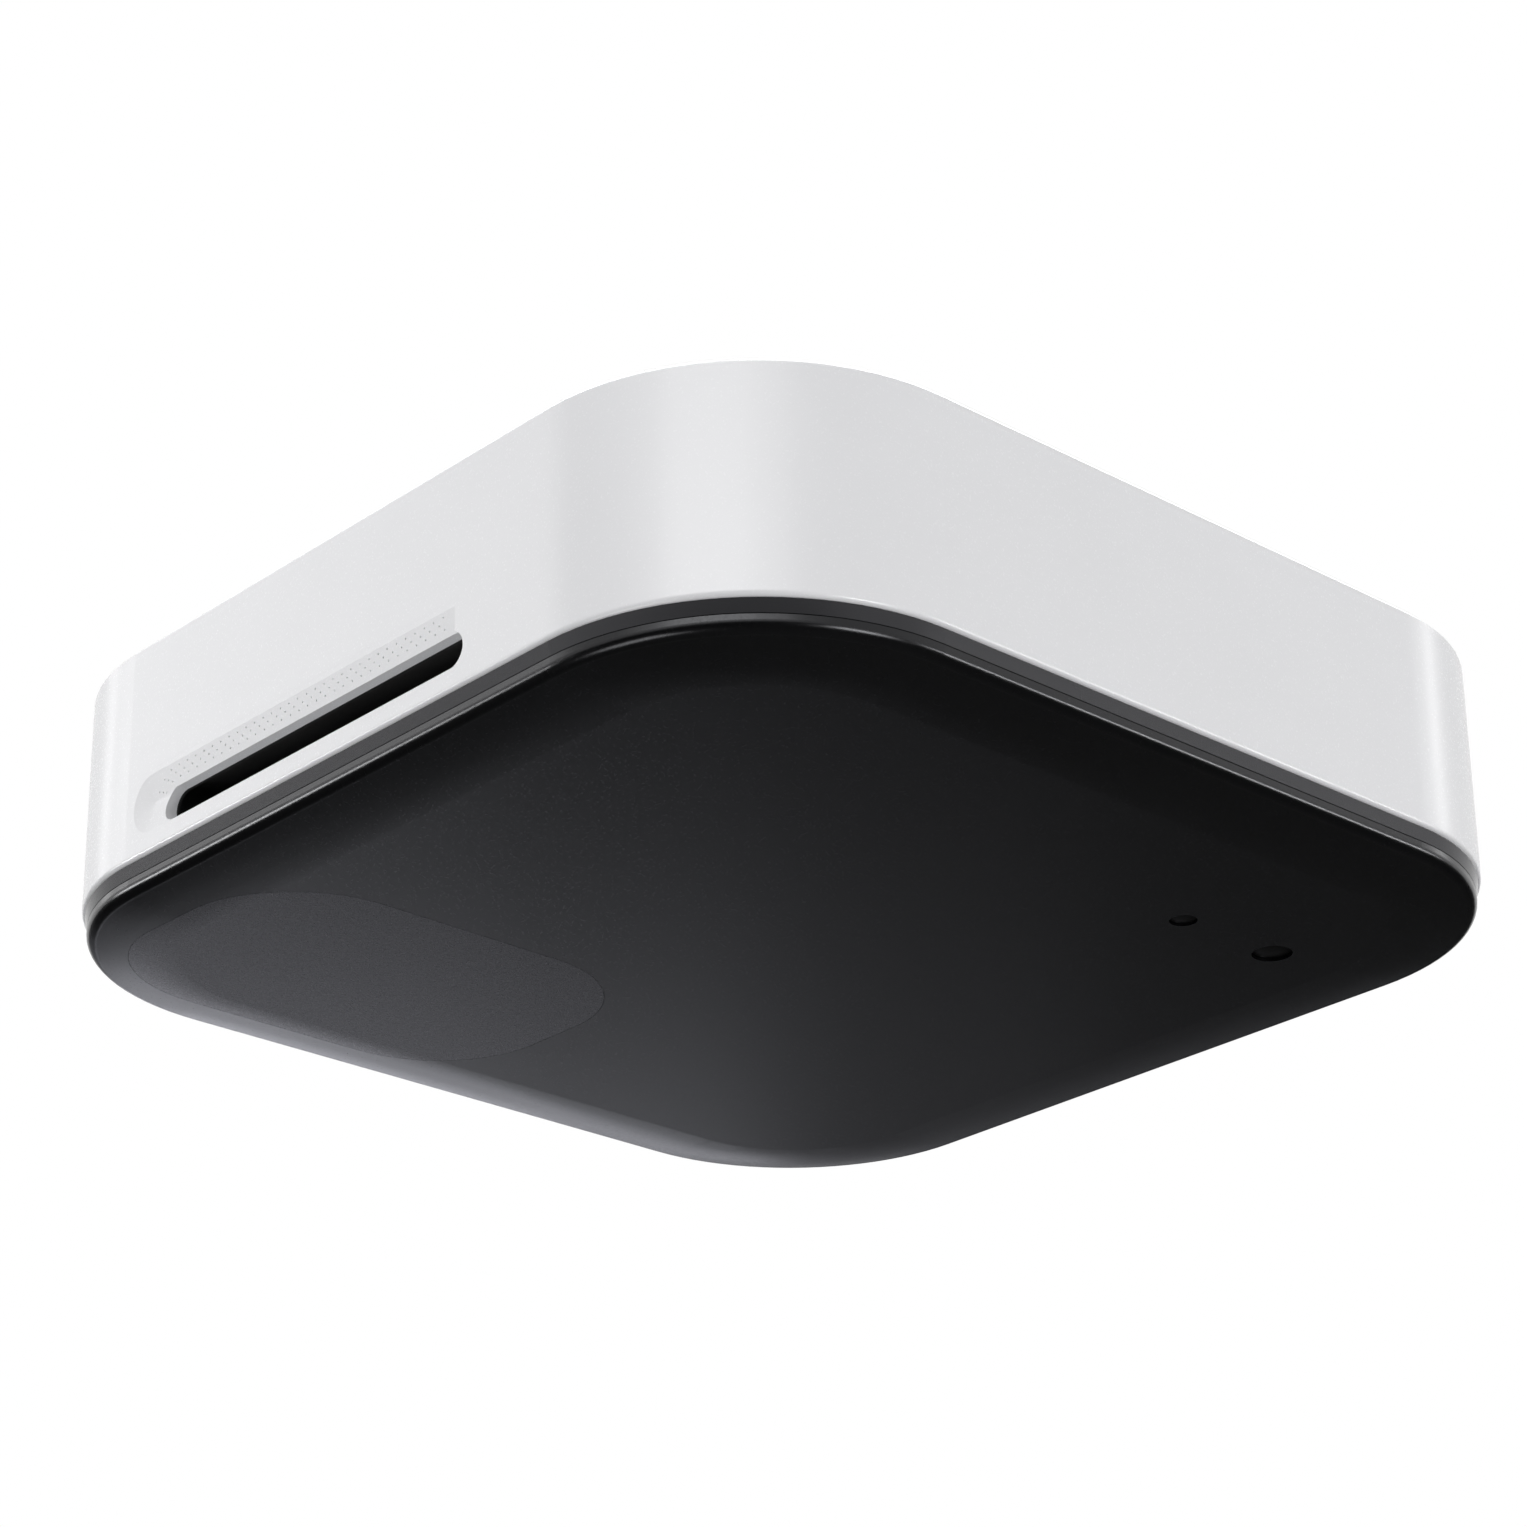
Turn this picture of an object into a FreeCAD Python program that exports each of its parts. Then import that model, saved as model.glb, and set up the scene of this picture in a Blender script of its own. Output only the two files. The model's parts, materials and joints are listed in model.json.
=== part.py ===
"""Ceiling occupancy sensor, in millimetres.

Frame: the origin is the middle of the ceiling plate's upper face, +Z points up into the
ceiling, and the sensor hangs below, so nearly everything has a negative z. The vent slot
is in the -X wall, and the sensing window is near the corner where -X meets +Y.
"""
import FreeCAD, Part

import math
import os

Vector = FreeCAD.Vector

# White housing
SIDE = 120.0
CORNER_R = 26.0
BODY_H = 24.8
CEILING_GAP = 0.5
WALL = 3.0
LIP_WALL = 2.2
FLANGE_T = 1.9
FLANGE_W = 3.0
TOP_CHAMFER = 0.6
RIM_EDGE_R = 0.6
GUSSET_T = 1.2

# Trim ring and gasket between housing and front cover
TRIM_INSET = 0.3
TRIM_H = 1.4
TRIM_W = 3.3
TRIM_TAPER = 0.3
GASKET_W = 1.6
SEAL_GAP = 0.2

# Front cover
GROOVE_DEPTH = 0.15
GROOVE_H = 0.1
COVER_BAND = 0.55
COVER_EDGE_R = 1.1
ROLL_W = 8.5
ROLL_H = 0.75
CLIP_T = 1.2
CLIP_W = 8.0
CLIP_HOOK = 0.9
CLIP_GAP = 0.4
CLIP_REST = 0.05
CLIP_FROM_CORNER = 1.0
HOOK_H = 1.2
HOOK_FLAT = 0.36

# Sensing window, an inlay in the cover
WINDOW_X = 51.0
WINDOW_Y = 35.5
WINDOW_R = 14.0
WINDOW_MARGIN = 7.0
WINDOW_DEPTH = 1.2
INLAY_GAP = 0.05

# Two small lenses in the cover
LENS_FROM_WALL = 26.7
LARGE_LENS_FROM_WALL = 19.3
LENS_SPACING = 14.0
LARGE_LENS_R = 2.2
SMALL_LENS_R = 1.5
LENS_SINK = 0.12
LENS_CROWN = 3.5
LENS_FLANGE = 0.8
LENS_FLANGE_T = 0.6

# Vent in the -X wall: an insert with a trough that slopes in, a slot and micro holes
VENT_END = 1.3
TROUGH_L = 53.2
TROUGH_H = 6.5
TROUGH_ABOVE_RIM = 2.3
TROUGH_D = 0.52
TROUGH_FLAT = 0.4
SLOT_H = 3.8
SLOT_FROM_BOTTOM = 0.05
SLOT_FROM_FAR_END = 5.4
SLOT_PAST_END = 1.3
PANEL_D = 1.65
PANEL_MARGIN = 0.6
PANEL_PAST_SLOT = 1.6
PANEL_GAP = 0.005
SHELF_W = 1.05
MICRO_R = 0.1
MICRO_SIDES = 6
MICRO_ROWS = 3
MICRO_PITCH = 1.45
MICRO_ROW = 0.6
MICRO_FROM_SLOT = 0.9
MICRO_FROM_END = 1.9
MICRO_SWEEP = 70.0
MESH_T = 0.3
DUCT_D = 6.8
DUCT_T = 0.8
AIR_CARD = (0.8, 8.0, 4.4)
AIR_CHIP = (1.0, 2.6, 2.6)
AIR_PORT_R = 0.5

# Rear chassis
CHASSIS_GAP = 0.15
CHASSIS_T = 2.5
FLOOR_T = 1.6
RING_T = 1.6
RIB_T = 1.2
RIB_COUNT = 8
RIB_DROP = 3.0

# Cable well and Ethernet jack
WELL_X0 = -26.0
WELL_X1 = 8.0
WELL_HALF_Y = 11.0
WELL_T = 1.4
WELL_FLOOR_T = 1.2
WELL_BOARD_GAP = 0.4
JACK_L = 20.8
JACK_W = 16.0
JACK_H = 12.0
JACK_GAP = 0.3
JACK_SETBACK = 0.2
SOCKET_W = 11.8
SOCKET_H = 8.2
SOCKET_DEPTH = 12.8
SOCKET_LIFT = 2.0
KEY_W = 6.4
KEY_H = 1.1

# Ceiling plate and its twist lock
PLATE_R = 40.0
PLATE_T = 1.4
CABLE_HOLE_R = 16.0
SCREW_SPACING = 60.0
SCREW_HOLE_R = 2.25
TAB_COUNT = 4
TAB_ANGLE = 22.0
TAB_FIRST = 45.0
TAB_FROM_RIM = 6.0
TAB_T = 1.2
TAB_OUT = 4.6
TAB_WINDOW_GAP = 0.2
LIGHTENING_ANGLE = 32.0
LIGHTENING_MARGIN = 5.0
LUG_T = 1.2
LUG_GAP = 0.3
LUG_CLEAR = 0.8
RECESS_GAP = 2.0
FOOT_FLOOR_GAP = 1.0
TURN = 26.0
STOP_ANGLE = 1.4
STOP_GAP = 0.4

# Sprung detent plunger on the plate
PLUNGER_W = 5.0
PLUNGER_T = 2.3
PLUNGER_TRAVEL = 2.4
PLUNGER_GAP = 0.15
GUIDE_T = 0.8
GUIDE_FROM_HOLE = 1.0
GUIDE_FROM_LUG = 1.5
GUIDE_EAR = 4.0
GUIDE_EAR_L = 8.0
SPRING_L = 7.0
SPRING_H = 1.8
SPRING_W = 4.2
SPRING_T = 0.2
SPRING_FOLDS = 4
CAM_GAP = 0.3
CAM_WALL = 2.4
CAM_SIDE_ANGLE = 8.0
CAM_STEP = 2.0

# Reset button and its switch
BUTTON_X = -31.5
BUTTON_Y = 16.5
BUTTON_R = 2.5
BUTTON_TRAVEL = 0.5
BUTTON_CAP_T = 0.9
BUTTON_SINK = 1.0
BUTTON_GAP = 0.3
BUTTON_CHAMFER = 0.25
STEM_R = 1.5
STEM_GAP = 0.1
COLLAR_T = 0.7
COLLAR_W = 0.8
REST_GAP = 0.05
SWITCH_SIDE = 6.0
SWITCH_H = 3.4
SWITCH_PAD_R = 1.6
SWITCH_PAD_H = 1.6

# Screws
SHANK_R = 1.45
SHANK_L = 8.0
HEAD_R = 2.7
HEAD_T = 1.4
DRIVE_R = 1.2
DRIVE_DEPTH = 0.9
HOLE_GAP = 0.05
HEAD_GAP = 0.3

# Main board
BOARD_T = 1.6
BOARD_GAP = 1.2
BOARD_SCREW_STEP = 9.0
STANDOFF_R = 3.0
BOSS_R = 3.5
BOSS_GAP = 1.1
BOSS_BOARD_GAP = 0.8

# Boxes on the main board: length, width, height
TRANSFORMER = (12.0, 14.0, 6.0)
TRANSFORMER_GAP = 2.0
PROCESSOR = (14.0, 14.0, 1.3)
PAD_T = 1.0
SPREADER = (28.0, 18.0, 2.0)
FIN_T = 1.6
FIN_PITCH = 4.5
FIN_COUNT = 5
FIN_MARGIN = 2.0
SHIELD = (26.0, 20.0, 3.0)
SHIELD_T = 0.2
SHIELD_R = 1.2
RADIO_CHIP = (7.0, 7.0, 1.0)
INDUCTOR = (10.0, 10.0, 5.0)
INDUCTOR_R = 2.5
CAN_R = 3.15
CAN_H = 7.7
CAN_PITCH = 9.0
CAN_CHAMFER = 0.5
ANTENNA_L = 18.0
ANTENNA_H = 5.0
ANTENNA_FOOT = 2.4
ANTENNA_ARM = 3.8
ANTENNA_T = 0.4
ANTENNA_SLOT = (13.0, 3.0)

# Where things stand on the main board, from its screws and the cable well
SPREADER_FROM_SCREW = 6.0
SHIELD_FROM_SCREW = 7.0
ANTENNA_FROM_SCREW = 6.5
BOX_FROM_WELL = 3.6
CANS_FROM_SCREW = (11.0, 10.0)
INDUCTOR_FROM_WELL = 1.6
INDUCTOR_FROM_CANS = 5.8

# Radar board behind the window, and the sensors behind the lenses
RADAR_X = 40.0
RADAR_Y = 29.0
RADAR_T = 1.0
RADAR_CLEAR = 3.1
RADAR_SHIFT = (3.0, -6.0)
RADAR_R = 2.0
RADAR_CHIP = (9.0, 9.0, 0.9)
POST_R = 1.5
POST_INSET = 3.0
CONNECTOR = (12.0, 3.6)
THERMAL_R = 2.3
THERMAL_CLEAR = 2.3
LIGHT_CHIP = (2.4, 2.4, 0.9)

# Levels and places worked out from the sizes above
TOP_Z = -CEILING_GAP
RIM_Z = TOP_Z - BODY_H
FLANGE_Z = RIM_Z + FLANGE_T
TRIM_Z = RIM_Z - TRIM_H
GROOVE_Z = TRIM_Z - GROOVE_H
FACE_Z = GROOVE_Z - COVER_BAND - COVER_EDGE_R - ROLL_H
CHASSIS_Z = TOP_Z - CHASSIS_T
FOOT_TOP_Z = -PLATE_T - 2 * LUG_GAP - LUG_T
FOOT_Z = FOOT_TOP_Z - TAB_T
LUG_Z = FOOT_TOP_Z + LUG_GAP
RECESS_Z = FOOT_Z - FOOT_FLOOR_GAP
FLOOR_Z = RECESS_Z - FLOOR_T
JACK_TOP_Z = FLOOR_Z - JACK_GAP
BOARD_Z = JACK_TOP_Z - JACK_H
BOARD_UNDER_Z = BOARD_Z - BOARD_T
WELL_UNDER_Z = BOARD_Z + WELL_BOARD_GAP
WELL_Z = WELL_UNDER_Z + WELL_FLOOR_T
RADAR_Z = TRIM_Z + RADAR_CLEAR
SWITCH_TOP_Z = BOARD_Z + SWITCH_H + SWITCH_PAD_H
HALF = SIDE / 2
STRAIGHT = HALF - CORNER_R
CAVITY_SIDE = SIDE - 2 * WALL
OPENING_SIDE = CAVITY_SIDE - 2 * FLANGE_W
OPENING_R = CORNER_R - WALL - FLANGE_W
COVER_INSET = TRIM_INSET + TRIM_TAPER
COVER_SIDE = SIDE - 2 * COVER_INSET
COVER_R = CORNER_R - COVER_INSET
TROUGH_FAR_Y = STRAIGHT - VENT_END
TROUGH_NEAR_Y = TROUGH_FAR_Y - TROUGH_L
SLOT_FAR_Y = TROUGH_FAR_Y - SLOT_FROM_FAR_END
SLOT_NEAR_Y = TROUGH_NEAR_Y - SLOT_PAST_END
SLOT_L = SLOT_FAR_Y - SLOT_NEAR_Y
SLOT_Y = (SLOT_FAR_Y + SLOT_NEAR_Y) / 2
SLOT_Z = RIM_Z + TROUGH_ABOVE_RIM + SLOT_FROM_BOTTOM + SLOT_H / 2
VENT_FAR_Y = TROUGH_FAR_Y + PANEL_MARGIN
VENT_NEAR_Y = SLOT_NEAR_Y - PANEL_PAST_SLOT
VENT_L = VENT_FAR_Y - VENT_NEAR_Y
VENT_H = TROUGH_H + 2 * PANEL_MARGIN
VENT_Y = (VENT_FAR_Y + VENT_NEAR_Y) / 2
VENT_Z = RIM_Z + TROUGH_ABOVE_RIM + TROUGH_H / 2
LENS_Y = LENS_FROM_WALL - HALF
LARGE_LENS_X = HALF - LARGE_LENS_FROM_WALL
SMALL_LENS_X = LARGE_LENS_X - LENS_SPACING
WINDOW_CX = WINDOW_MARGIN + WINDOW_X / 2 - HALF
WINDOW_CY = HALF - WINDOW_MARGIN - WINDOW_Y / 2
RADAR_CX = WINDOW_CX + RADAR_SHIFT[0]
RADAR_CY = WINDOW_CY + RADAR_SHIFT[1]
CLIP_Y = STRAIGHT - CLIP_FROM_CORNER - CLIP_W / 2
DIAGONAL = math.sqrt(0.5)
BOSS_AT = STRAIGHT + (CORNER_R - WALL - BOSS_R - BOSS_GAP) * DIAGONAL
BOARD_SIDE = 2 * (HALF - WALL - DUCT_D - BOARD_GAP)
BOARD_R = (BOARD_SIDE / 2 - BOSS_AT + (BOSS_R + BOSS_BOARD_GAP) * DIAGONAL) / (1 - DIAGONAL)
BOARD_SCREW_AT = BOSS_AT - BOARD_SCREW_STEP
TAB_LEG_R = PLATE_R - TAB_FROM_RIM
LUG_IN_R = TAB_LEG_R + TAB_T + LUG_CLEAR
RECESS_R = PLATE_R + RECESS_GAP
GUIDE_Y = CABLE_HOLE_R + GUIDE_FROM_HOLE
GUIDE_END_Y = LUG_IN_R - GUIDE_FROM_LUG
PLUNGER_TOP_Z = -PLATE_T - PLUNGER_GAP
PLUNGER_Z = PLUNGER_TOP_Z - PLUNGER_T
PLUNGER_BACK_Y = GUIDE_Y + GUIDE_T + SPRING_L
PLUNGER_TIP_Y = RECESS_R + PLUNGER_TRAVEL + PLUNGER_GAP
JACK_X = WELL_X1 + JACK_SETBACK
ANTENNA_Y = BOARD_SCREW_AT - ANTENNA_FROM_SCREW - ANTENNA_L / 2
BOX_Y = WELL_HALF_Y + WELL_T + BOX_FROM_WELL
HOT_SIDE = (BOARD_SCREW_AT - SPREADER_FROM_SCREW - SPREADER[0] / 2, BOX_Y + SPREADER[1] / 2)
RADIO_SIDE = (BOARD_SCREW_AT - SHIELD_FROM_SCREW - SHIELD[0] / 2, -BOX_Y - SHIELD[1] / 2)
POWER_SIDE = (CANS_FROM_SCREW[0] - BOARD_SCREW_AT, CANS_FROM_SCREW[1] - BOARD_SCREW_AT)
INDUCTOR_AT = (WELL_X0 - WELL_T - INDUCTOR_FROM_WELL - INDUCTOR[0] / 2,
               POWER_SIDE[1] + CAN_R + INDUCTOR_FROM_CANS + INDUCTOR[1] / 2)
QUARTER = math.degrees(math.pi / 2)


def box(x0, x1, y0, y1, z0, z1):
    return Part.makeBox(x1 - x0, y1 - y0, z1 - z0, Vector(x0, y0, z0))


def block(size, x, y, z):
    """A box of length, width and height, centred on x and y, that stands on z."""
    length, width, height = size
    return Part.makeBox(length, width, height, Vector(x - length / 2, y - width / 2, z))


def cylinder(radius, z0, z1, x=0.0, y=0.0):
    return Part.makeCylinder(radius, z1 - z0, Vector(x, y, z0))


def regular_prism(sides, radius, length, centre, axis):
    """A prism on a regular outline that starts at a point and runs along an axis."""
    turn = 2 * math.pi / sides
    points = [Vector(radius * math.cos(step * turn), radius * math.sin(step * turn), 0)
              for step in range(sides)]
    prism = Part.Face(Part.makePolygon(points + [points[0]])).extrude(Vector(0, 0, length))
    prism.Placement = FreeCAD.Placement(centre, FreeCAD.Rotation(Vector(0, 0, 1), axis))
    return prism


def chamfered(radius, chamfer, z0, z1, x, y):
    """A cylinder with a chamfer round its upper edge."""
    body = cylinder(radius, z0, z1 - chamfer, x, y)
    cone = Part.makeCone(radius, radius - chamfer, chamfer, Vector(x, y, z1 - chamfer))
    return fuse([body, cone])


def rounded_wire(length, width, radius, z, x=0.0, y=0.0):
    """A rounded rectangle that starts halfway up its +X side."""
    a, b, r = length / 2, width / 2, radius
    v = [Vector(x + a, y, z), Vector(x + a, y + b - r, z), Vector(x + a - r, y + b, z),
         Vector(x - a + r, y + b, z), Vector(x - a, y + b - r, z), Vector(x - a, y - b + r, z),
         Vector(x - a + r, y - b, z), Vector(x + a - r, y - b, z), Vector(x + a, y - b + r, z)]
    bulge = r - r * DIAGONAL
    mid = [Vector(x + side_x * (a - bulge), y + side_y * (b - bulge), z)
           for side_x, side_y in ((1, 1), (-1, 1), (-1, -1), (1, -1))]
    edges = [Part.makeLine(v[0], v[1])]
    for corner in range(4):
        start, end = v[2 * corner + 1], v[2 * corner + 2]
        edges.append(Part.Arc(start, mid[corner], end).toShape())
        following = v[2 * corner + 3] if corner < 3 else v[0]
        edges.append(Part.makeLine(end, following))
    return Part.Wire(edges)


def rounded_prism(length, width, radius, z0, z1, x=0.0, y=0.0):
    wire = rounded_wire(length, width, radius, z0, x, y)
    return Part.Face(wire).extrude(Vector(0, 0, z1 - z0))


def square_prism(side, radius, z0, z1):
    return rounded_prism(side, side, radius, z0, z1)


def square_ring(outer, outer_r, wall, z0, z1):
    ring = square_prism(outer, outer_r, z0, z1)
    return ring.cut(square_prism(outer - 2 * wall, outer_r - wall, z0, z1))


def sector(r0, r1, start, end, z0, z1):
    """A piece of a flat ring between two angles in degrees."""
    outer = Part.makeCylinder(r1, z1 - z0, Vector(0, 0, z0), Vector(0, 0, 1), end - start)
    piece = outer.cut(cylinder(r0, z0, z1))
    piece.rotate(Vector(0, 0, 0), Vector(0, 0, 1), start)
    return piece


def stadium_wire(length, height, x, y, z):
    """The outline of a slot with round ends, in the YZ plane."""
    r = height / 2
    s = length / 2 - r
    a = Vector(x, y - s, z - r)
    b = Vector(x, y + s, z - r)
    c = Vector(x, y + s, z + r)
    d = Vector(x, y - s, z + r)
    far_end = Part.Arc(b, Vector(x, y + s + r, z), c).toShape()
    near_end = Part.Arc(d, Vector(x, y - s - r, z), a).toShape()
    return Part.Wire([Part.makeLine(a, b), far_end, Part.makeLine(c, d), near_end])


def stadium(length, height, x0, x1, y, z):
    """A slot shape with round ends, extruded along X."""
    return Part.Face(stadium_wire(length, height, x0, y, z)).extrude(Vector(x1 - x0, 0, 0))


def fuse(shapes):
    result = shapes[0].multiFuse(shapes[1:])
    return result.removeSplitter()


def cut_all(shape, tools):
    for tool in tools:
        shape = shape.cut(tool)
    return shape


def turned(shape, angle):
    shape.rotate(Vector(0, 0, 0), Vector(0, 0, 1), angle)
    return shape


def outer_edges(shape, z, side):
    """The edges at height z that run round the outside of a rounded square."""
    found = []
    for edge in shape.Edges:
        bounds = edge.BoundBox
        level = abs(bounds.ZMin - z) < 1e-4 and abs(bounds.ZMax - z) < 1e-4
        reach = max(abs(bounds.XMin), abs(bounds.XMax), abs(bounds.YMin), abs(bounds.YMax))
        if level and abs(reach - side / 2) < 1e-3:
            found.append(edge)
    return found


def corners(distance):
    return [(x, y) for x in (-distance, distance) for y in (-distance, distance)]


def save(name, shape):
    shape.exportStep("parts/" + name + ".step")
    state = "valid" if shape.isValid() else "NOT VALID"
    print(name, len(shape.Solids), state, round(shape.Volume, 1))


def screw(x, y, seat_z, way):
    """A flat head hexagon socket screw: its head sits on seat_z, the shank goes way in z."""
    origin = Vector(x, y, 0)
    head = cylinder(HEAD_R, 0, HEAD_T, x, y)
    shank = cylinder(SHANK_R, -SHANK_L, 0, x, y)
    floor = Vector(x, y, HEAD_T - DRIVE_DEPTH)
    drive = regular_prism(6, DRIVE_R, DRIVE_DEPTH, floor, Vector(0, 0, 1))
    piece = fuse([head, shank]).cut(drive)
    if way > 0:
        piece.rotate(origin, Vector(1, 0, 0), 180)
    piece.translate(Vector(0, 0, seat_z))
    return piece


def make_housing():
    body = square_prism(SIDE, CORNER_R, RIM_Z, TOP_Z)
    body = body.makeChamfer(TOP_CHAMFER, outer_edges(body, TOP_Z, SIDE))
    body = body.makeFillet(RIM_EDGE_R, outer_edges(body, RIM_Z, SIDE))
    body = cut_all(body, [
        square_prism(SIDE - 2 * LIP_WALL, CORNER_R - LIP_WALL, CHASSIS_Z, 0),
        square_prism(CAVITY_SIDE, CORNER_R - WALL, FLANGE_Z, 0),
        square_prism(OPENING_SIDE, OPENING_R, TRIM_Z, 0)])
    boss_foot = RIM_Z + FLANGE_T / 2
    gusset_l = BOSS_R + BOSS_GAP + WALL / 2
    bosses = []
    for x, y in corners(BOSS_AT):
        bosses.append(cylinder(BOSS_R, boss_foot, CHASSIS_Z, x, y))
        gusset = box(0, gusset_l, -GUSSET_T / 2, GUSSET_T / 2, boss_foot, CHASSIS_Z - GUSSET_T)
        gusset = turned(gusset, math.degrees(math.atan2(y, x)))
        gusset.translate(Vector(x, y, 0))
        bosses.append(gusset)
    body = fuse([body] + bosses)
    hole_foot = CHASSIS_Z - SHANK_L
    for x, y in corners(BOSS_AT):
        body = body.cut(cylinder(SHANK_R + HOLE_GAP, hole_foot, CHASSIS_Z, x, y))
    pocket = stadium(VENT_L, VENT_H, -SIDE, PANEL_D - HALF, VENT_Y, VENT_Z)
    through = stadium(VENT_L - 2 * SHELF_W, VENT_H - 2 * SHELF_W, -SIDE, WALL - HALF + GUSSET_T,
                      VENT_Y, VENT_Z)
    return cut_all(body, [pocket, through])


def micro_points():
    """Staggered rows above the slot that go on round its far end, each at its own radius."""
    start_y = TROUGH_NEAR_Y + MICRO_FROM_END
    bend_y = SLOT_FAR_Y - SLOT_H / 2
    straight = bend_y - start_y
    points = []
    for row in range(MICRO_ROWS):
        radius = SLOT_H / 2 + MICRO_FROM_SLOT + row * MICRO_ROW
        way = MICRO_PITCH / 2 if row % 2 else 0.0
        while way < straight + radius * math.radians(MICRO_SWEEP):
            turn = max(way - straight, 0.0) / radius
            along = min(way, straight) + radius * math.sin(turn)
            points.append((start_y + along, SLOT_Z + radius * math.cos(turn)))
            way += MICRO_PITCH
    return points


def make_trough():
    """What the trough takes away: round at its far end, cut off square at its near end."""
    length = TROUGH_L + TROUGH_H
    y = TROUGH_FAR_Y - length / 2
    slope_w = TROUGH_H - TROUGH_FLAT
    outline = stadium_wire(length, TROUGH_H, -HALF, y, VENT_Z)
    bottom = stadium_wire(length - slope_w, TROUGH_H - slope_w, TROUGH_D - HALF, y, VENT_Z)
    beyond = box(-SIDE, 0, -SIDE, TROUGH_NEAR_Y, -SIDE, 0)
    return Part.makeLoft([outline, bottom], True, True).cut(beyond)


def make_vent_panel():
    """The wall's insert, with the trough, the slot and the micro holes."""
    along_x = Vector(1, 0, 0)
    x0 = -HALF
    x1 = PANEL_D - HALF
    panel = stadium(VENT_L - 2 * PANEL_GAP, VENT_H - 2 * PANEL_GAP, x0, x1, VENT_Y, VENT_Z)
    tools = [stadium(SLOT_L, SLOT_H, x0, x1, SLOT_Y, SLOT_Z)]
    for y, z in micro_points():
        tools.append(regular_prism(MICRO_SIDES, MICRO_R, PANEL_D, Vector(x0, y, z), along_x))
    return panel.cut(make_trough()).cut(Part.makeCompound(tools))


def make_vent_mesh():
    """A black dust mesh behind the holes, left open behind the slot."""
    x0 = PANEL_D - HALF
    x1 = x0 + MESH_T
    edge = SHELF_W + PANEL_GAP
    mesh = stadium(VENT_L - 2 * edge, VENT_H - 2 * edge, x0, x1, VENT_Y, VENT_Z)
    slot = stadium(SLOT_L + 2 * PANEL_GAP, SLOT_H + 2 * PANEL_GAP, x0, x1, SLOT_Y, SLOT_Z)
    return mesh.cut(slot)


def make_air_duct():
    x0 = WALL - HALF
    x1 = x0 + DUCT_D
    inner_l = VENT_L - 2 * SHELF_W
    inner_h = VENT_H - 2 * SHELF_W
    outer = stadium(inner_l + 2 * DUCT_T, inner_h + 2 * DUCT_T, x0, x1, VENT_Y, VENT_Z)
    return outer.cut(stadium(inner_l, inner_h, x0, x1 - DUCT_T, VENT_Y, VENT_Z))


def upright(size, x1):
    """A box of depth, width and height that stands against the plane x1 in the duct."""
    depth, width, height = size
    return box(x1 - depth, x1, VENT_Y - width / 2, VENT_Y + width / 2,
               VENT_Z - height / 2, VENT_Z + height / 2)


def make_air_sensor():
    x1 = WALL - HALF + DUCT_D - DUCT_T
    card = upright(AIR_CARD, x1)
    chip_x = x1 - AIR_CARD[0]
    chip = upright(AIR_CHIP, chip_x)
    port = Part.makeCylinder(AIR_PORT_R, AIR_CHIP[0] / 2,
                             Vector(chip_x - AIR_CHIP[0], VENT_Y, VENT_Z), Vector(1, 0, 0))
    return fuse([card, chip]).cut(port)


def make_trim_ring():
    """A ring that tapers in from the housing's rim down to the cover's outline."""
    side = SIDE - 2 * TRIM_INSET
    radius = CORNER_R - TRIM_INSET
    outer = Part.makeLoft([rounded_wire(side, side, radius, RIM_Z),
                           rounded_wire(COVER_SIDE, COVER_SIDE, COVER_R, TRIM_Z)], True, True)
    return outer.cut(square_prism(side - 2 * TRIM_W, radius - TRIM_W, TRIM_Z, RIM_Z))


def make_gasket():
    inset = TRIM_INSET + TRIM_W + SEAL_GAP
    return square_ring(SIDE - 2 * inset, CORNER_R - inset, GASKET_W, TRIM_Z, RIM_Z)


def cover_edge():
    """The rolled edge of the cover: one section swept round the rounded square."""
    half = COVER_SIDE / 2
    band_z = GROOVE_Z - COVER_BAND
    roll_r = (ROLL_W ** 2 + ROLL_H ** 2) / (2 * ROLL_H)
    knee_x = half - COVER_EDGE_R
    inner_x = knee_x - ROLL_W
    half_angle = math.asin(ROLL_W / roll_r) / 2
    roll_mid = Vector(inner_x + roll_r * math.sin(half_angle), 0,
                      FACE_Z + roll_r * (1 - math.cos(half_angle)))
    bend = COVER_EDGE_R * DIAGONAL
    edge_mid = Vector(knee_x + bend, 0, band_z - bend)
    top_in = Vector(inner_x, 0, GROOVE_Z)
    top_out = Vector(half, 0, GROOVE_Z)
    band_end = Vector(half, 0, band_z)
    knee = Vector(knee_x, 0, FACE_Z + ROLL_H)
    face_in = Vector(inner_x, 0, FACE_Z)
    section = Part.Wire([
        Part.makeLine(top_in, top_out),
        Part.makeLine(top_out, band_end),
        Part.Arc(band_end, edge_mid, knee).toShape(),
        Part.Arc(knee, roll_mid, face_in).toShape(),
        Part.makeLine(face_in, top_in)])
    spine = rounded_wire(COVER_SIDE, COVER_SIDE, COVER_R, GROOVE_Z)
    return spine.makePipeShell([section], True, False)


def make_cover_blank():
    inset = COVER_EDGE_R + ROLL_W
    middle = square_prism(COVER_SIDE - 2 * inset, COVER_R - inset, FACE_Z, GROOVE_Z)
    neck = square_prism(COVER_SIDE - 2 * GROOVE_DEPTH, COVER_R - GROOVE_DEPTH, GROOVE_Z, TRIM_Z)
    return fuse([cover_edge(), middle, neck])


def window_prism(gap):
    """The window's outline, from below the face up to the bottom of its seat."""
    return rounded_prism(WINDOW_X + 2 * gap, WINDOW_Y + 2 * gap, WINDOW_R + gap,
                         FACE_Z - WINDOW_DEPTH, FACE_Z + WINDOW_DEPTH, WINDOW_CX, WINDOW_CY)


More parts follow.
